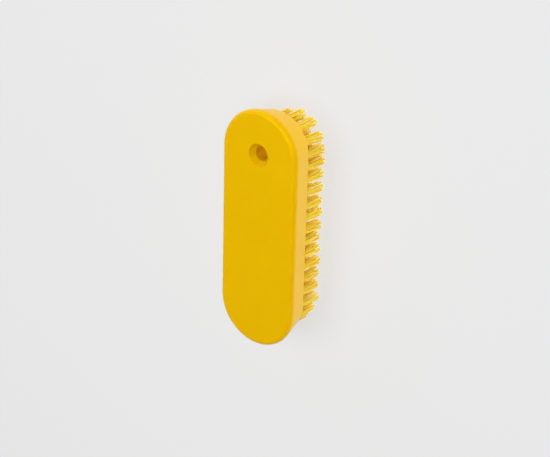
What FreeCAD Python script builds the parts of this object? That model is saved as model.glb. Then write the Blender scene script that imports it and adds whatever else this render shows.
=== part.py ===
"""Nail brush: a moulded block with staple-set bristle tufts.

The brush rests on its bristle tips with its back face up.
X runs along the block, with the hanging hole at the +X end (the head).
Y runs across it, Z is up, and the origin is under its middle, at the bristle tips.

The pieces are the block, the tufts and the anchors.
Each tuft is a bundle of filaments folded in half in a blind hole.
Each anchor is a flat steel staple that lies across its hole from wall to wall and holds the fold down.
Tufts and their holes are drawn with flats, near enough to round for pieces that repeat so often.
"""
import FreeCAD
import Part
import Sketcher
import math
import os

# Driving dimensions, in millimetres, degrees and counts.
SIZES = {
    # the block
    "block_length": 120.0,
    "block_width": 42.8,
    "block_thickness": 14.2,
    "wall_slope": 15.4,
    "back_edge_radius": 2.2,
    "rim_edge_bevel": 0.2,
    # the hanging hole, on the centre of the head's round end, with a conical mouth in the back
    "hang_bore": 7.1,
    "hang_sink_width": 2.05,
    "hang_sink_depth": 2.75,
    "hang_front_bevel": 0.5,
    "hang_land": 0.8,
    # the bristles
    "bristle_length": 14.0,
    "tuft_hole": 4.0,
    "tuft_hole_depth": 8.5,
    "tuft_clearance": 0.05,
    "tuft_flare": 0.6,
    # the anchors
    "anchor_thickness": 0.5,
    "anchor_height": 1.8,
    "anchor_clearance": 0.02,
    "fold_height": 1.5,
    # the layout: an outer and an inner ring of tufts round two middle rows, moved a little towards the tail
    "ring_inset": 3.7,
    "field_shift": 0.7,
    "side_tufts": 13,
    "outer_end_tufts": 6,
    "inner_end_tufts": 3,
}
# Flats round a tuft and its hole, whose sizes are given across the flats.
TUFT_SIDES = 8

# Derived sizes, as expressions of the sheet's cells.
SLOPE = "(sizes.wall_slope * 1deg)"
EDGE_LOSS = f"(sizes.back_edge_radius * (tan({SLOPE}) + 1 / cos({SLOPE}) - 1))"
RIM_RADIUS = f"(sizes.block_width / 2 + {EDGE_LOSS} - sizes.block_thickness * tan({SLOPE}))"
HALF_STRAIGHT = "((sizes.block_length - sizes.block_width) / 2)"
BACK_LEVEL = "(sizes.bristle_length + sizes.block_thickness)"
HANG_CLEAR = "(sizes.hang_bore / 2 + sizes.hang_front_bevel + sizes.hang_land + sizes.tuft_hole / 2)"
OUTER_RING = f"({RIM_RADIUS} - sizes.ring_inset)"
ROW_SPACING = f"({OUTER_RING} / 2.5)"
INNER_RING = f"({ROW_SPACING} * 1.5)"
MIDDLE_ROW = f"({ROW_SPACING} * 0.5)"
FIELD_TAIL = f"(-{HALF_STRAIGHT} - sizes.field_shift)"
FIELD_HEAD = f"({HALF_STRAIGHT} - sizes.field_shift)"
TUFT_PITCH = f"(2 * {HALF_STRAIGHT} / (sizes.side_tufts - 1))"
MIDDLE_TUFTS = f"(floor(({HALF_STRAIGHT} - {HANG_CLEAR} - {FIELD_TAIL}) / {TUFT_PITCH}) + 1)"
OUTER_STEP = "(180deg / (sizes.outer_end_tufts + 1))"
INNER_STEP = "(180deg / (sizes.inner_end_tufts + 1))"
CORNER_REACH = f"(1 / cos(180deg / {TUFT_SIDES}))"
HOLE_CORNER = f"(sizes.tuft_hole / 2 * {CORNER_REACH})"
TUFT_CORNER = f"((sizes.tuft_hole / 2 - sizes.tuft_clearance) * {CORNER_REACH})"
ROOT_LENGTH = "(sizes.tuft_hole_depth - sizes.tuft_clearance)"
FLARE_ANGLE = "atan(sizes.tuft_flare / sizes.bristle_length)"
ANCHOR_LENGTH = "(sizes.tuft_hole - 2 * sizes.anchor_clearance)"
ANCHOR_DEPTH = "(sizes.tuft_hole_depth - sizes.fold_height)"
ANCHOR_FLOOR = f"(sizes.bristle_length + {ANCHOR_DEPTH} - sizes.anchor_height)"
WINDOW_WIDTH = "(sizes.anchor_thickness + 2 * sizes.anchor_clearance)"
WINDOW_HEIGHT = "(sizes.anchor_height + 2 * sizes.anchor_clearance)"
CUTTER_LEAD = "(sizes.tuft_hole / 2)"

UP = FreeCAD.Vector(0, 0, 1)
TOUCH = 1e-6

doc = FreeCAD.newDocument("nail_brush")
sheet = doc.addObject("Spreadsheet::Sheet", "sizes")
for row, (alias, size) in enumerate(SIZES.items(), start=1):
    sheet.set(f"A{row}", alias)
    sheet.set(f"B{row}", str(size))
    sheet.setAlias(f"B{row}", alias)
doc.recompute()


def number(expression):
    """The present value of an expression of the sheet's cells."""
    value = sheet.evalExpression(expression)
    return float(getattr(value, "Value", value))


def bind(item, sizes):
    """Binds an object's sizes to expressions."""
    for size, expression in sizes.items():
        item.setExpression(size, expression)


def attach(item, body, level, plane="XY_Plane"):
    """Lays an object on one of its body's origin planes, moved to a level above the bristle tips."""
    support = next(feature for feature in body.Origin.OriginFeatures if feature.Role == plane)
    item.AttachmentSupport = [(support, "")]
    item.MapMode = "FlatFace"
    upward = "z" if plane == "XY_Plane" else "y"
    bind(item, {f"AttachmentOffset.Base.{upward}": level})


def new_sketch(body, name, level, plane="XY_Plane"):
    """A sketch on one of its body's origin planes."""
    sketch = body.newObject("Sketcher::SketchObject", name)
    attach(sketch, body, level, plane)
    return sketch


def new_feature(body, kind, name, sketch, sizes, reverse=False):
    """A feature made from a sketch, with its sizes bound to expressions."""
    feature = body.newObject(f"PartDesign::{kind}", name)
    feature.Profile = sketch
    feature.Reversed = reverse
    bind(feature, sizes)
    return feature


def drive(sketch, name, expression, kind, *elements):
    """Adds a dimension to a sketch and binds it to an expression."""
    index = sketch.addConstraint(Sketcher.Constraint(kind, *elements, number(expression)))
    sketch.renameConstraint(index, name)
    bind(sketch, {f"Constraints.{name}": expression})


def fix(sketch, kind, *elements):
    """Adds a constraint that has no size of its own."""
    sketch.addConstraint(Sketcher.Constraint(kind, *elements))


def spot(x, y):
    """A point of a sketch."""
    return FreeCAD.Vector(x, y, 0)


def draw_loop(sketch, corners):
    """Straight lines from corner to corner, closed."""
    count = len(corners)
    lines = sketch.addGeometry([
        Part.LineSegment(corners[i], corners[(i + 1) % count]) for i in range(count)
    ])
    for i in range(count):
        fix(sketch, "Coincident", lines[i], 2, lines[(i + 1) % count], 1)
    return lines


def draw_obround(sketch, radius, half_straight):
    """Two half circles joined by tangent lines, centred on the sketch's origin."""
    r = number(radius)
    x = number(half_straight)
    quarter = math.pi / 2
    head, left, tail, right = sketch.addGeometry([
        Part.ArcOfCircle(Part.Circle(spot(x, 0), UP, r), -quarter, quarter),
        Part.LineSegment(spot(x, r), spot(-x, r)),
        Part.ArcOfCircle(Part.Circle(spot(-x, 0), UP, r), quarter, 3 * quarter),
        Part.LineSegment(spot(-x, -r), spot(x, -r)),
    ])
    for one, other in ((head, left), (left, tail), (tail, right), (right, head)):
        fix(sketch, "Tangent", one, 2, other, 1)
    fix(sketch, "Equal", head, tail)
    fix(sketch, "PointOnObject", head, 3, -1)
    fix(sketch, "Symmetric", head, 3, tail, 3, -1, 1)
    drive(sketch, "end_radius", radius, "Radius", head)
    drive(sketch, "half_straight", half_straight, "DistanceX", -1, 1, head, 3)


def draw_circle(sketch, radius, x):
    """A circle on the sketch's x axis."""
    circle = sketch.addGeometry(Part.Circle(spot(number(x), 0), UP, number(radius)))
    fix(sketch, "PointOnObject", circle, 3, -1)
    drive(sketch, "radius", radius, "Radius", circle)
    drive(sketch, "along", x, "DistanceX", -1, 1, circle, 3)


def draw_rectangle(sketch, length, width):
    """A rectangle, length along x, centred on the sketch's origin."""
    x = number(length) / 2
    y = number(width) / 2
    lower, right, upper, left = draw_loop(sketch, [spot(-x, -y), spot(x, -y), spot(x, y), spot(-x, y)])
    fix(sketch, "Horizontal", lower)
    fix(sketch, "Horizontal", upper)
    fix(sketch, "Vertical", left)
    fix(sketch, "Symmetric", lower, 1, upper, 1, -1, 1)
    drive(sketch, "length", length, "DistanceX", lower, 1, lower, 2)
    drive(sketch, "width", width, "DistanceY", right, 1, right, 2)


def draw_polygon(sketch, sides, radius):
    """A regular polygon in a circle, centred on the sketch's origin, with one side upright."""
    r = number(radius)
    angles = [(i - 0.5) * 2 * math.pi / sides for i in range(sides)]
    lines = draw_loop(sketch, [spot(r * math.cos(angle), r * math.sin(angle)) for angle in angles])
    circle = sketch.addGeometry(Part.Circle(spot(0, 0), UP, r), True)
    for line in lines:
        fix(sketch, "PointOnObject", line, 2, circle)
    for line in lines[1:]:
        fix(sketch, "Equal", lines[0], line)
    fix(sketch, "Vertical", lines[0])
    fix(sketch, "Coincident", circle, 3, -1, 1)
    drive(sketch, "radius", radius, "Radius", circle)


def edges_at(shape, level):
    """The edges that lie in a level plane, with their names."""
    for index, edge in enumerate(shape.Edges, start=1):
        box = edge.BoundBox
        if abs(box.ZMin - level) < TOUCH and abs(box.ZMax - level) < TOUCH:
            yield f"Edge{index}", edge


def outline_at(shape, level):
    """Names of all the edges that lie in a level plane."""
    return [name for name, edge in edges_at(shape, level)]


def mouth_at(shape, level):
    """Names of the hanging bore's edges in a level plane."""
    axis = spot(number(HALF_STRAIGHT), 0)
    reach = number("sizes.hang_bore / 2") + TOUCH
    return [
        name for name, edge in edges_at(shape, level)
        if all((spot(v.X, v.Y) - axis).Length < reach for v in edge.Vertexes)
    ]


def finish_edges(body, kind, name, base, names, sizes, style=None):
    """A fillet or a chamfer on named edges of the feature before it."""
    finish = body.newObject(f"PartDesign::{kind}", name)
    finish.Base = (base, names)
    if style:
        finish.ChamferType = style
    bind(finish, sizes)
    doc.recompute()
    return finish


def round_edges(body, name, base, names, radius):
    """Rounds named edges of the feature before it."""
    return finish_edges(body, "Fillet", name, base, names, {"Radius": radius})


def bevel_edges(body, name, base, names, size):
    """Bevels named edges of the feature before it."""
    return finish_edges(body, "Chamfer", name, base, names, {"Size": size})


def sink_edges(body, name, base, names, width, depth):
    """Sinks named edges of the feature before it: a width across the face and a depth down the bore."""
    return finish_edges(body, "Chamfer", name, base, names, {"Size": width, "Size2": depth}, "Two distances")


def slope_sides(body, name, base, level, angle):
    """Turns a straight pad's sides outwards, so that it widens away from its outline at a level."""
    faces = {f"Face{index}": face.BoundBox for index, face in enumerate(base.Shape.Faces, start=1)}
    draft = body.newObject("PartDesign::Draft", name)
    draft.Base = (base, [face for face, box in faces.items() if box.ZLength > TOUCH])
    draft.NeutralPlane = (base, [
        face for face, box in faces.items() if box.ZLength < TOUCH and abs(box.ZMin - level) < TOUCH
    ])
    draft.Reversed = not base.Reversed
    bind(draft, {"Angle": angle})
    doc.recompute()
    if draft.Shape.Volume < base.Shape.Volume:
        raise RuntimeError(f"{name} slopes inwards")
    return draft


def removes_material(feature, before):
    """Stops the build if a cut took nothing away."""
    if feature.Shape.Volume > before.Shape.Volume - TOUCH:
        raise RuntimeError(f"{feature.Name} cut nothing")


def build_blank():
    """The moulded block before it is drilled: tapered obround, rounded edges and hanging hole."""
    body = doc.addObject("PartDesign::Body", "block_blank")
    top = number(BACK_LEVEL)
    floor = number("sizes.bristle_length")
    outline = new_sketch(body, "rim_outline", "sizes.bristle_length")
    draw_obround(outline, RIM_RADIUS, HALF_STRAIGHT)
    pad = new_feature(body, "Pad", "block_pad", outline, {"Length": "sizes.block_thickness"})
    doc.recompute()
    wall = slope_sides(body, "block_wall", pad, floor, "sizes.wall_slope")
    back = round_edges(body, "back_edge", wall, outline_at(wall.Shape, top), "sizes.back_edge_radius")
    rim = bevel_edges(body, "rim_edge", back, outline_at(back.Shape, floor), "sizes.rim_edge_bevel")
    circle = new_sketch(body, "hang_circle", BACK_LEVEL)
    draw_circle(circle, "sizes.hang_bore / 2", HALF_STRAIGHT)
    bore = new_feature(body, "Pocket", "hang_hole", circle, {})
    bore.Type = "ThroughAll"
    doc.recompute()
    removes_material(bore, rim)
    rims = mouth_at(bore.Shape, top)
    sink = sink_edges(body, "hang_sink", bore, rims, "sizes.hang_sink_width", "sizes.hang_sink_depth")
    bevel_edges(body, "hang_front_mouth", sink, mouth_at(sink.Shape, floor), "sizes.hang_front_bevel")
    return body


def build_cutter():
    """One tuft hole, from below the rim to its floor."""
    body = doc.addObject("PartDesign::Body", "cutter")
    section = new_sketch(body, "hole_section", f"sizes.bristle_length - {CUTTER_LEAD}")
    draw_polygon(section, TUFT_SIDES, HOLE_CORNER)
    new_feature(body, "Pad", "hole", section, {"Length": f"sizes.tuft_hole_depth + {CUTTER_LEAD}"})
    return body


def build_tuft():
    """One tuft: tight in its hole, flared from the mouth to the trimmed tips, folded round its anchor."""
    body = doc.addObject("PartDesign::Body", "tuft")
    section = new_sketch(body, "tuft_section", "sizes.bristle_length")
    draw_polygon(section, TUFT_SIDES, TUFT_CORNER)
    free = new_feature(body, "Pad", "tuft_free", section, {"Length": "sizes.bristle_length"}, reverse=True)
    doc.recompute()
    slope_sides(body, "tuft_flare", free, number("sizes.bristle_length"), FLARE_ANGLE)
    root = new_feature(body, "Pad", "tuft_root", section, {"Length": ROOT_LENGTH})
    fold = new_sketch(body, "fold_outline", f"{ANCHOR_FLOOR} + sizes.anchor_height / 2", plane="YZ_Plane")
    draw_rectangle(fold, WINDOW_WIDTH, WINDOW_HEIGHT)
    window = new_feature(body, "Pocket", "fold_window", fold, {"Length": "2 * sizes.tuft_hole"})
    window.SideType = "Symmetric"
    doc.recompute()
    removes_material(window, root)
    return body


def build_anchor():
    """One anchor: a flat steel blade across its tuft's fold."""
    body = doc.addObject("PartDesign::Body", "anchor")
    blade = new_sketch(body, "anchor_outline", ANCHOR_FLOOR)
    draw_rectangle(blade, ANCHOR_LENGTH, "sizes.anchor_thickness")
    new_feature(body, "Pad", "anchor_blade", blade, {"Length": "sizes.anchor_height"})
    return body


def cross_row(x, rows):
    """Tufts across the block: one on each side of its middle for every row that is named."""
    return [(x, y) for row in rows for y in (f"-{row}", row)]


def end_arc(x, ring, facing, step, turns):
    """Tufts round an end of a ring, at whole numbers of equal steps from one side towards the other."""
    angles = [f"({facing} - 90deg + {turn} * {step})" for turn in turns]
    return [(f"{x} + {ring} * cos({angle})", f"{ring} * sin({angle})") for angle in angles]


def tuft_layout():
    """The tufts' places, in groups named from the tail to the head.
    An odd row holds the outer and middle tufts across the block, and the next even row the inner ones."""
    outer_turns = range(1, round(number("sizes.outer_end_tufts")) + 1)
    inner_turns = range(1, round(number("sizes.inner_end_tufts")) + 1)
    inner_turns_and_sides = range(len(inner_turns) + 2)
    layout = {
        "tail_outer": end_arc(FIELD_TAIL, OUTER_RING, "180deg", OUTER_STEP, outer_turns),
        "tail_inner": end_arc(FIELD_TAIL, INNER_RING, "180deg", INNER_STEP, inner_turns),
        "head_outer": end_arc(FIELD_HEAD, OUTER_RING, "0deg", OUTER_STEP, outer_turns),
        "head_inner": end_arc(FIELD_HEAD, INNER_RING, "0deg", INNER_STEP, inner_turns_and_sides),
    }
    side_tufts = round(number("sizes.side_tufts"))
    middle_tufts = round(number(MIDDLE_TUFTS))
    for step in range(side_tufts):
        x = f"{FIELD_TAIL} + {step} * {TUFT_PITCH}"
        rows = [OUTER_RING, MIDDLE_ROW] if step < middle_tufts else [OUTER_RING]
        layout[f"row_{2 * step + 1:02d}"] = cross_row(x, rows)
        if step < side_tufts - 1:
            layout[f"row_{2 * step + 2:02d}"] = cross_row(x, [INNER_RING])
    return layout


def place_copies(label, piece, places):
    """A group of copies of one piece, each at its own place."""
    copies = []
    for index, (x, y) in enumerate(places, start=1):
        copy = doc.addObject("App::Link", f"{label}_{index}")
        copy.LinkedObject = piece
        bind(copy, {"Placement.Base.x": x, "Placement.Base.y": y})
        copies.append(copy)
    group = doc.addObject("Part::Compound", label)
    group.Links = copies
    return group


def drill_block(blank, cutter, layout):
    """The finished block: the blank less a cutter at every tuft's place."""
    plan = place_copies("drill_plan", cutter, sum(layout.values(), []))
    block = doc.addObject("Part::Cut", "handle_block")
    block.Base = blank
    block.Tool = plan
    doc.recompute()
    removes_material(block, blank)
    return block


layout = tuft_layout()
tuft = build_tuft()
anchor = build_anchor()
sub_parts = [drill_block(build_blank(), build_cutter(), layout)]
for name, places in layout.items():
    sub_parts.append(place_copies(f"tufts_{name}", tuft, places))
    sub_parts.append(place_copies(f"anchors_{name}", anchor, places))
doc.recompute()

for item in doc.Objects:
    if "Invalid" in item.State or "Error" in item.State:
        raise RuntimeError(f"{item.Name} failed: {item.State}")
for part in sub_parts:
    if part.Shape.isNull() or not part.Shape.isValid():
        raise RuntimeError(f"{part.Label} has no valid shape")

os.makedirs("parts", exist_ok=True)
for part in sub_parts:
    part.Shape.exportStep(f"parts/{part.Label}.step")
    print(part.Label, len(part.Shape.Solids), "solids", round(part.Shape.Volume, 2), "mm3")
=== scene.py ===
"""Looks of the nail brush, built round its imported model.

All sizes are in metres in the model's frame: X along the block to the hanging hole, Y across it,
Z up out of the back face, and the bristle tips on the floor at Z = 0.
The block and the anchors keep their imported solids, and each tuft's solid is replaced by its filaments.
"""
import math

import bpy
import numpy as np
from mathutils import Matrix, Vector


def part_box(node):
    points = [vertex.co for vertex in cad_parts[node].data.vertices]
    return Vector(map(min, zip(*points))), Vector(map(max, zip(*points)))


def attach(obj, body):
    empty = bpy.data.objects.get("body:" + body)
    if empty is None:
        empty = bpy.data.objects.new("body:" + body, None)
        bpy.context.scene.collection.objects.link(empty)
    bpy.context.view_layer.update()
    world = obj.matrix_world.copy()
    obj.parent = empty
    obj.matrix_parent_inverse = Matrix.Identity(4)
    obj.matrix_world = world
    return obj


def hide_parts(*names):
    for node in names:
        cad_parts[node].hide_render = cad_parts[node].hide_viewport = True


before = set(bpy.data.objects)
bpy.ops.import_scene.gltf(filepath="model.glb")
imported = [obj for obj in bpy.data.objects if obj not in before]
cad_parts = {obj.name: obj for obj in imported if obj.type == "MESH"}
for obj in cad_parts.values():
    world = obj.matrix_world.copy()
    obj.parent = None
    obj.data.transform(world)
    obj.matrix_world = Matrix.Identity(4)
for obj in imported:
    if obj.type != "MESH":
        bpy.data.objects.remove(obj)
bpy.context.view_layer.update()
scene = bpy.context.scene

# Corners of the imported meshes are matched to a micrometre.
CORNER_DIGITS = 6

# Levels and distances that the filaments take from the solids.
# The two largest Y values in a row of anchors are the sides of the outermost one.
RIM_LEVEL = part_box("handle_block")[0].z
ANCHOR_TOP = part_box("anchors_row_01")[1].z
FOLD_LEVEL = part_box("tufts_row_01")[1].z
anchor_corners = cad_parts["anchors_row_01"].data.vertices
anchor_sides = np.unique([round(corner.co.y, CORNER_DIGITS) for corner in anchor_corners])
OUTER_ROW = (anchor_sides[-1] + anchor_sides[-2]) / 2
ANCHOR_HALF = (anchor_sides[-1] - anchor_sides[-2]) / 2

# One tuft: a bundle of filaments folded in half round its anchor, so each filament has two tips.
FOLDED_FILAMENTS = 23
FILAMENT_RADIUS = 0.00023
FILAMENT_SIDES = 6
BUNDLE_RADIUS = 0.00168
TIP_SPREAD = 1.78
BOW = 0.58
FILAMENT_STRAY = 0.00012
TRIM_SPREAD = 0.00040
TIP_CLEARANCE = 0.00004
ARCH_ANGLES = np.radians([45.0, 90.0, 135.0])
GOLDEN_ANGLE = math.pi * (3 - math.sqrt(5))
FILAMENT_SEED = 41

# Locks that the tips gather into. They stand on a ring, whose radius is a share of the spread bundle's.
LOCK_COUNT = 7
LOCK_PULL = 0.42
LOCK_RING = 2 / 3
LOCK_UNEVEN = 0.15

# Every tuft leans a little by chance. Towards the head, tufts also lean out to the sides.
# Those round the head's tip lean back along the block, most on the +Y side.
TUFT_LEAN = 0.00030
FAN_LEAN = 0.00070
FAN_START = 0.010
FAN_FULL = 0.034
TIP_LEAN = 0.00130
TIP_SKEW = 0.6
TIP_START = 0.0470
TIP_FULL = 0.0490

# The camera of the photograph, fitted to the block's outline and its hanging hole.
PHOTO_WIDTH = 550
CAMERA_PLACE = Vector((0.31303, -0.40929, 0.54745))
CAMERA_AIM = Vector((0.00081, -0.00538, 0.02110))
CAMERA_UP = Vector((0.90447, 0.28105, -0.32085))
FOCAL_PIXELS = 1562.9
SENSOR_WIDTH = 36.0

# Colours, linear.
BLOCK_YELLOW = (0.790, 0.468, 0.0004)
BLOCK_YELLOW_DEEP = (0.768, 0.448, 0.0003)
BLOCK_SHEEN = (0.80, 0.80, 0.02)
FILAMENT_YELLOW = (0.975, 0.805, 0.040)
# The deeper filament yellow is both a random tone and painted shade at the roots.
FILAMENT_DEEP_TONE_AND_ROOT_SHADE = (0.945, 0.665, 0.004)
STEEL_LIGHT = (0.62, 0.61, 0.58)
STEEL_DARK = (0.44, 0.43, 0.41)
BACKDROP_GREY = (0.812, 0.812, 0.812)

# Unevenness: scales of the cloud and the grain, ranges of roughness, and depth and strength of the relief.
NOISE_DETAIL = 3.0
NOISE_ROUGHNESS = 0.55
BLOCK_SCALES = (55.0, 2600.0)
BLOCK_CLOUD_RANGE = (0.3, 0.7)
BLOCK_ROUGHNESS = (0.30, 0.44)
BLOCK_RELIEF = (0.00006, 0.35)
FILAMENT_SCALES = (900.0, 5200.0)
FILAMENT_ROUGHNESS = (0.26, 0.42)
FILAMENT_RELIEF = (0.00003, 0.3)
STEEL_SCALES = (800.0, 4000.0)
STEEL_ROUGHNESS = (0.28, 0.45)

# Plastic: its gloss, how light spreads in the block, how much painted shade deepens a filament towards its
# root under the block, and how much its random tone lightens it.
PLASTIC_SPECULAR = 0.5
SUBSURFACE_WEIGHT = 0.35
SUBSURFACE_RADIUS = (1.0, 0.45, 0.05)
SUBSURFACE_SCALE = 0.003
ROOT_SHADE_SHARE = 0.45
TONE_SHARE = 0.55

# The floor, the room and the lamps, which are square soft boxes: place, width and power in watts.
FLOOR_HALF = 2.5
FLOOR_ROUGHNESS = 0.9
FLOOR_SHADOW_SHARE = 0.22
TABLE_GLOW = 1.05
AMBIENT = 0.05
LIGHT_BOUNCES = 16
BRUSH_MIDDLE = Vector((0, 0, RIM_LEVEL))
SOFT_LIGHTS = {
    "top": ((0.22, 0.20, 1.22), 1.0, 12.1),
    "shoulder": ((0.32, -0.57, 1.05), 0.7, 6.4),
    "head": ((0.85, 0.55, 0.25), 0.4, 1.4),
}


def mesh_piece(name, points, faces, smooth):
    """A mesh object at the origin from an array of points, a list of faces and which of them are smooth."""
    mesh = bpy.data.meshes.new(name)
    mesh.from_pydata(points.reshape(-1, 3).tolist(), [], faces)
    mesh.polygons.foreach_set("use_smooth", smooth)
    mesh.update()
    piece = bpy.data.objects.new(name, mesh)
    scene.collection.objects.link(piece)
    return piece


def point_values(piece, name, values):
    """Stores one number per point of a piece, for its material to read."""
    attribute = piece.data.attributes.new(name, "FLOAT", "POINT")
    attribute.data.foreach_set("value", values.astype(np.float32).ravel())


def tuft_middles(node):
    """Middles of a node's tufts: tip corners that share a triangle take the lowest label among them,
    over and over until nothing changes, and each label's corners are averaged."""
    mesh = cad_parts[node].data
    corners = np.empty(3 * len(mesh.vertices))
    mesh.vertices.foreach_get("co", corners)
    corners, merged = np.unique(corners.reshape(-1, 3).round(CORNER_DIGITS), axis=0, return_inverse=True)
    loops = np.empty(len(mesh.loops), int)
    mesh.loops.foreach_get("vertex_index", loops)
    triangles = merged.ravel()[loops].reshape(-1, 3)
    tips = triangles[(corners[triangles][:, :, 2] < TIP_CLEARANCE).all(axis=1)]
    labels = np.arange(len(corners))
    changed = True
    while changed:
        before = labels.copy()
        np.minimum.at(labels, tips.ravel(), labels[tips].min(axis=1).repeat(3))
        changed = (labels != before).any()
    used = np.unique(tips)
    return [corners[used[labels[used] == label], :2].mean(axis=0) for label in np.unique(labels[used])]


def bundle_section(rng):
    """Places of a tuft's filaments in a disc, as in a sunflower head: equal turns, and radius as the root of
    the count. The front and back halves of the disc come in matching order, as the two legs of each fold."""
    count = 2 * FOLDED_FILAMENTS
    index = np.arange(count)
    radius = BUNDLE_RADIUS * np.sqrt((index + 0.5) / count)
    angle = index * GOLDEN_ANGLE + rng.uniform(0, 2 * math.pi)
    places = np.stack([radius * np.cos(angle), radius * np.sin(angle)], axis=1)
    order = np.argsort(places[:, 1])
    return places[order[:FOLDED_FILAMENTS - 1:-1]], places[order[:FOLDED_FILAMENTS]]


def pull_to_locks(tips, rng):
    """Draws tips together into locks: each tip moves part of the way to the nearest of a ring of points about
    the middle of the tuft, or to the middle itself."""
    angle = np.arange(LOCK_COUNT) * 2 * math.pi / LOCK_COUNT + rng.uniform(0, 2 * math.pi)
    ring = LOCK_RING * TIP_SPREAD * BUNDLE_RADIUS * np.stack([np.cos(angle), np.sin(angle)], axis=1)
    uneven = rng.uniform(1 - LOCK_UNEVEN, 1 + LOCK_UNEVEN, (LOCK_COUNT, 1))
    locks = np.concatenate([ring * uneven, np.zeros((1, 2))])
    nearest = np.linalg.norm(tips[:, None] - locks, axis=2).argmin(axis=1)
    return tips + LOCK_PULL * (locks[nearest] - tips)


def leg_line(places, tips, side, rng):
    """Centre lines of one leg of each filament: from its tip, through a bowed middle, to the mouth of the
    hole and beside the anchor."""
    count = len(places)
    trim = TIP_CLEARANCE + TRIM_SPREAD * rng.random(count) ** 2
    beside = places.copy()
    beside[:, 1] = side * np.maximum(side * places[:, 1], ANCHOR_HALF + FILAMENT_RADIUS)
    middle = places + BOW * (tips - places)
    stations = [(tips, trim), (middle, RIM_LEVEL / 2), (places, RIM_LEVEL), (beside, ANCHOR_TOP)]
    return np.stack([np.column_stack([xy, np.broadcast_to(z, count)]) for xy, z in stations], axis=1)


def fold_arch(start, end):
    """The bend of each filament over its anchor: half an ellipse whose height follows its width."""
    angle = ARCH_ANGLES[None, :, None]
    room = FOLD_LEVEL - ANCHOR_TOP - FILAMENT_RADIUS
    height = room * np.abs(start[:, :, 1:2] - end[:, :, 1:2]) / (2 * BUNDLE_RADIUS)
    arch = (start + end) / 2 + (start - end) / 2 * np.cos(angle)
    arch[:, :, 2:] += height * np.sin(angle)
    return arch


def way_along(value, start, full):
    """How far a value lies on the way from a start to where an effect is full, from 0 to 1."""
    return np.clip((value - start) / (full - start), 0, 1)


def tuft_lean(place, rng):
    """How far a tuft's tips lean in X and Y, by chance and by its place."""
    fan = FAN_LEAN * way_along(place[0], FAN_START, FAN_FULL)
    tip = TIP_LEAN * way_along(place[0], TIP_START, TIP_FULL)
    across = place[1] / OUTER_ROW
    return rng.normal(0, TUFT_LEAN, 2) + np.array([-tip * (TIP_SKEW + across), fan * across])


def tuft_lines(place, rng):
    """Centre lines of a tuft's folded filaments: up one leg, over the anchor and down the other leg.
    Tips spread in proportion to their distance from the middle of the tuft, gather into locks and stray a
    little, and the whole tuft leans from the mouth of its hole."""
    places = np.concatenate(bundle_section(rng))
    tips = pull_to_locks(places * TIP_SPREAD, rng) + rng.normal(0, FILAMENT_STRAY, places.shape)
    up = leg_line(places[:FOLDED_FILAMENTS], tips[:FOLDED_FILAMENTS], 1, rng)
    down = leg_line(places[FOLDED_FILAMENTS:], tips[FOLDED_FILAMENTS:], -1, rng)[:, ::-1]
    lines = np.concatenate([up, fold_arch(up[:, -1:], down[:, :1]), down], axis=1)
    free = np.clip(1 - lines[:, :, 2:] / RIM_LEVEL, 0, 1)
    lines[:, :, :2] += place + free * tuft_lean(place, rng)
    return lines


def tubes(lines, radius, sides):
    """Round tubes along many centre lines at once: each ring lies across its line's direction, and its first
    spoke is the X axis made square to that direction, so tubes don't twist."""
    along = np.gradient(lines, axis=1)
    along /= np.linalg.norm(along, axis=2, keepdims=True)
    spoke = np.array([1.0, 0.0, 0.0]) - along * along[:, :, :1]
    spoke /= np.linalg.norm(spoke, axis=2, keepdims=True)
    other = np.cross(along, spoke)
    angle = (np.arange(sides) * 2 * math.pi / sides)[:, None]
    ring = np.cos(angle) * spoke[:, :, None, :] + np.sin(angle) * other[:, :, None, :]
    return lines[:, :, None, :] + radius * ring


def tube_faces(count, stations, sides):
    """Faces of equal tubes laid out one after another, and which of them are smooth: quads between
    neighbouring rings, which are, and a flat cap at each end."""
    index = np.arange(count * stations * sides).reshape(count, stations, sides)
    turned = np.roll(index, -1, axis=2)
    walls = np.stack([index[:, :-1], turned[:, :-1], turned[:, 1:], index[:, 1:]], axis=-1).reshape(-1, 4)
    caps = np.concatenate([index[:, 0, ::-1], index[:, -1]])
    return walls.tolist() + caps.tolist(), np.repeat([True, False], [len(walls), len(caps)])


def filament_piece(node, material, rng):
    """The filaments of all the tufts of one node. Their points carry a random tone for each filament, and a
    reach from 0 at the block to 1 at the tips, by which the material paints shade deepening towards the
    roots."""
    places = tuft_middles(node)
    lines = np.concatenate([tuft_lines(place, rng) for place in places])
    points = tubes(lines, FILAMENT_RADIUS, FILAMENT_SIDES)
    faces, smooth = tube_faces(len(lines), lines.shape[1], FILAMENT_SIDES)
    piece = mesh_piece(node.replace("tufts", "filaments"), points, faces, smooth)
    tone = np.broadcast_to(rng.random(len(lines))[:, None, None], points.shape[:3])
    point_values(piece, "tone", tone)
    point_values(piece, "reach", np.clip(1 - points[..., 2] / RIM_LEVEL, 0, 1))
    piece.data.materials.append(material)
    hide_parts(node)
    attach(piece, "root")


def moulding_group():
    """Unevenness of plastic and steel, as a node group that gives a broad cloud and a fine grain."""
    group = bpy.data.node_groups.new("moulding", "ShaderNodeTree")
    group.interface.new_socket("Vector", in_out="INPUT", socket_type="NodeSocketVector")
    for output in ("Cloud", "Grain"):
        group.interface.new_socket(f"{output} Scale", in_out="INPUT", socket_type="NodeSocketFloat")
        group.interface.new_socket(output, in_out="OUTPUT", socket_type="NodeSocketFloat")
    join = group.links.new
    given = group.nodes.new("NodeGroupInput")
    made = group.nodes.new("NodeGroupOutput")
    for output in ("Cloud", "Grain"):
        noise = group.nodes.new("ShaderNodeTexNoise")
        noise.inputs["Detail"].default_value = NOISE_DETAIL
        noise.inputs["Roughness"].default_value = NOISE_ROUGHNESS
        join(given.outputs["Vector"], noise.inputs["Vector"])
        join(given.outputs[f"{output} Scale"], noise.inputs["Scale"])
        join(noise.outputs["Fac"], made.inputs[output])
    return group


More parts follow.
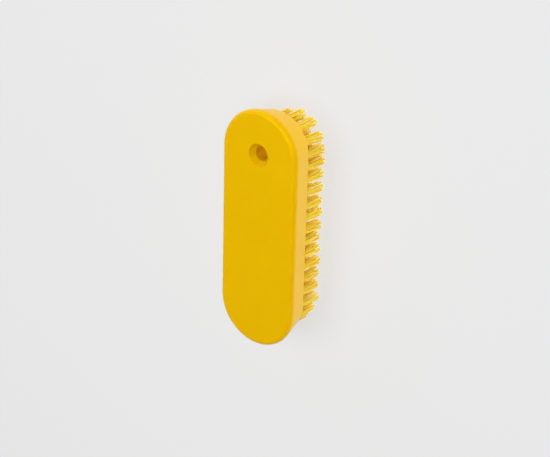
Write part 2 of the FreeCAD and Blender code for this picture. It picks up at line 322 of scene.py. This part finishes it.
def new_material(name):
    """A node material, its nodes, and a function that joins two sockets."""
    material = bpy.data.materials.new(name)
    material.use_nodes = True
    return material, material.node_tree.nodes, material.node_tree.links.new


def mix_colours(nodes, join, factor, first, second):
    """A mix of two colours by a factor from 0 to 1."""
    mix = nodes.new("ShaderNodeMix")
    mix.data_type = "RGBA"
    mix.inputs["A"].default_value = (*first, 1)
    mix.inputs["B"].default_value = (*second, 1)
    join(factor, mix.inputs["Factor"])
    return mix.outputs["Result"]


def remap(nodes, join, value, low, high, from_low=0.0, from_high=1.0):
    """A number moved from one range to another."""
    node = nodes.new("ShaderNodeMapRange")
    for socket, limit in (("From Min", from_low), ("From Max", from_high), ("To Min", low), ("To Max", high)):
        node.inputs[socket].default_value = limit
    join(value, node.inputs["Value"])
    return node.outputs["Result"]


def place_moulding(nodes, join, group, cloud_scale, grain_scale):
    """The unevenness group on an object's own coordinates."""
    coordinates = nodes.new("ShaderNodeTexCoord")
    moulding = nodes.new("ShaderNodeGroup")
    moulding.node_tree = group
    moulding.inputs["Cloud Scale"].default_value = cloud_scale
    moulding.inputs["Grain Scale"].default_value = grain_scale
    join(coordinates.outputs["Object"], moulding.inputs["Vector"])
    return moulding


def point_number(nodes, name):
    """A number that a piece's points carry."""
    attribute = nodes.new("ShaderNodeAttribute")
    attribute.attribute_name = name
    return attribute.outputs["Fac"]


def bump(nodes, join, shader, height, distance, strength):
    """A fine relief on a shader's normal."""
    node = nodes.new("ShaderNodeBump")
    node.inputs["Distance"].default_value = distance
    node.inputs["Strength"].default_value = strength
    join(height, node.inputs["Height"])
    join(node.outputs["Normal"], shader.inputs["Normal"])


def block_material(group):
    """Satin moulded polypropylene that lets a little light in: one colour with faint clouds, and a fine grain
    in gloss and relief."""
    material, nodes, join = new_material("block_plastic")
    shader = nodes["Principled BSDF"]
    moulding = place_moulding(nodes, join, group, *BLOCK_SCALES)
    cloud = remap(nodes, join, moulding.outputs["Cloud"], 0.0, 1.0, *BLOCK_CLOUD_RANGE)
    join(mix_colours(nodes, join, cloud, BLOCK_YELLOW_DEEP, BLOCK_YELLOW), shader.inputs["Base Color"])
    join(remap(nodes, join, moulding.outputs["Grain"], *BLOCK_ROUGHNESS), shader.inputs["Roughness"])
    shader.inputs["Specular IOR Level"].default_value = PLASTIC_SPECULAR
    shader.inputs["Specular Tint"].default_value = (*BLOCK_SHEEN, 1)
    shader.inputs["Subsurface Weight"].default_value = SUBSURFACE_WEIGHT
    shader.inputs["Subsurface Radius"].default_value = SUBSURFACE_RADIUS
    shader.inputs["Subsurface Scale"].default_value = SUBSURFACE_SCALE
    bump(nodes, join, shader, moulding.outputs["Grain"], *BLOCK_RELIEF)
    return material


def filament_material(group):
    """Drawn polyester filament: each filament has its own random tone, and painted shade makes it a little
    deeper towards its root, under the block.
    """
    material, nodes, join = new_material("bristle_filament")
    shader = nodes["Principled BSDF"]
    moulding = place_moulding(nodes, join, group, *FILAMENT_SCALES)
    # Painted shade: the colour deepens from tip to root by the reach, where the roots lie in shade under the
    # block; the rest of the mix is each filament's random tone.
    lift = nodes.new("ShaderNodeMath")
    lift.operation = "MULTIPLY_ADD"
    lift.inputs[1].default_value = ROOT_SHADE_SHARE
    join(point_number(nodes, "reach"), lift.inputs[0])
    join(remap(nodes, join, point_number(nodes, "tone"), 0.0, TONE_SHARE), lift.inputs[2])
    colour = mix_colours(nodes, join, lift.outputs["Value"], FILAMENT_DEEP_TONE_AND_ROOT_SHADE, FILAMENT_YELLOW)
    join(colour, shader.inputs["Base Color"])
    join(remap(nodes, join, moulding.outputs["Cloud"], *FILAMENT_ROUGHNESS), shader.inputs["Roughness"])
    shader.inputs["Specular IOR Level"].default_value = PLASTIC_SPECULAR
    bump(nodes, join, shader, moulding.outputs["Grain"], *FILAMENT_RELIEF)
    return material


def anchor_material(group):
    """Flat rolled steel wire with faint clouds in its colour and a grain in its gloss."""
    material, nodes, join = new_material("anchor_steel")
    shader = nodes["Principled BSDF"]
    moulding = place_moulding(nodes, join, group, *STEEL_SCALES)
    colour = mix_colours(nodes, join, moulding.outputs["Cloud"], STEEL_DARK, STEEL_LIGHT)
    join(colour, shader.inputs["Base Color"])
    join(remap(nodes, join, moulding.outputs["Grain"], *STEEL_ROUGHNESS), shader.inputs["Roughness"])
    shader.inputs["Metallic"].default_value = 1.0
    return material


def dress_node(node, material):
    """Gives a node that stays as it is its material."""
    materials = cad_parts[node].data.materials
    materials.clear()
    materials.append(material)


def seen_by(nodes, join, rays):
    """One where a surface is seen by a ray of one of the named kinds, and nought elsewhere."""
    path = nodes.new("ShaderNodeLightPath")
    total = path.outputs[rays[0]]
    for ray in rays[1:]:
        larger = nodes.new("ShaderNodeMath")
        larger.operation = "MAXIMUM"
        join(total, larger.inputs[0])
        join(path.outputs[ray], larger.inputs[1])
        total = larger.outputs["Value"]
    return total


def build_floor():
    """A wide pale light table under the tips. The eye sees mostly its even backdrop colour, also in gloss,
    and a share of its light and shadow; everything else sees a matt floor that glows."""
    x, y = np.meshgrid([-FLOOR_HALF, FLOOR_HALF], [-FLOOR_HALF, FLOOR_HALF])
    corners = np.stack([x, y, np.zeros_like(x)], axis=-1)
    floor = mesh_piece("floor", corners, [[0, 1, 3, 2]], [False])
    material, nodes, join = new_material("floor_paper")
    matt = nodes["Principled BSDF"]
    matt.inputs["Base Color"].default_value = (*BACKDROP_GREY, 1)
    matt.inputs["Emission Color"].default_value = (*BACKDROP_GREY, 1)
    matt.inputs["Roughness"].default_value = FLOOR_ROUGHNESS
    matt.inputs["Specular IOR Level"].default_value = 0.0
    even = nodes.new("ShaderNodeEmission")
    even.inputs["Color"].default_value = (*BACKDROP_GREY, 1)
    blend = nodes.new("ShaderNodeMixShader")
    seen = seen_by(nodes, join, ("Is Camera Ray", "Is Glossy Ray", "Is Transmission Ray"))
    join(remap(nodes, join, seen, TABLE_GLOW, 0.0), matt.inputs["Emission Strength"])
    join(remap(nodes, join, seen, 0.0, 1 - FLOOR_SHADOW_SHARE), blend.inputs["Fac"])
    join(matt.outputs["BSDF"], blend.inputs[1])
    join(even.outputs["Emission"], blend.inputs[2])
    join(blend.outputs["Shader"], nodes["Material Output"].inputs["Surface"])
    floor.data.materials.append(material)


def build_world():
    """A dim even room, which the eye sees in the backdrop's colour."""
    world = bpy.data.worlds.new("studio")
    scene.world = world
    world.use_nodes = True
    nodes = world.node_tree.nodes
    join = world.node_tree.links.new
    seen = seen_by(nodes, join, ("Is Camera Ray",))
    shown = mix_colours(nodes, join, seen, (AMBIENT,) * 3, BACKDROP_GREY)
    join(shown, nodes["Background"].inputs["Color"])


def soft_light(name, place, width, power):
    """A square soft box, turned to face the brush."""
    lamp = bpy.data.lights.new(name, "AREA")
    lamp.shape = "SQUARE"
    lamp.size = width
    lamp.energy = power
    light = bpy.data.objects.new(name, lamp)
    light.location = place
    light.rotation_euler = (BRUSH_MIDDLE - Vector(place)).to_track_quat("-Z", "Y").to_euler()
    scene.collection.objects.link(light)


def build_camera():
    """The photograph's camera: it looks from its place to its aim, with its own direction as up."""
    lens = bpy.data.cameras.new("camera")
    lens.sensor_width = SENSOR_WIDTH
    lens.lens = FOCAL_PIXELS * SENSOR_WIDTH / PHOTO_WIDTH
    camera = bpy.data.objects.new("camera", lens)
    back = (CAMERA_PLACE - CAMERA_AIM).normalized()
    right = CAMERA_UP.cross(back).normalized()
    up = back.cross(right)
    turn = Matrix((right, up, back)).transposed()
    camera.matrix_world = Matrix.Translation(CAMERA_PLACE) @ turn.to_4x4()
    scene.collection.objects.link(camera)
    scene.camera = camera


moulding = moulding_group()
block_plastic = block_material(moulding)
bristle_filament = filament_material(moulding)
anchor_steel = anchor_material(moulding)
rng = np.random.default_rng(FILAMENT_SEED)
for node in sorted(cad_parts):
    if node.startswith("tufts_"):
        filament_piece(node, bristle_filament, rng)
    elif node.startswith("anchors_"):
        dress_node(node, anchor_steel)
    else:
        dress_node(node, block_plastic)

build_floor()
build_world()
for name, (place, width, power) in SOFT_LIGHTS.items():
    soft_light(name, place, width, power)
build_camera()
scene.view_settings.view_transform = "Standard"
scene.cycles.max_bounces = LIGHT_BOUNCES
scene.cycles.diffuse_bounces = LIGHT_BOUNCES
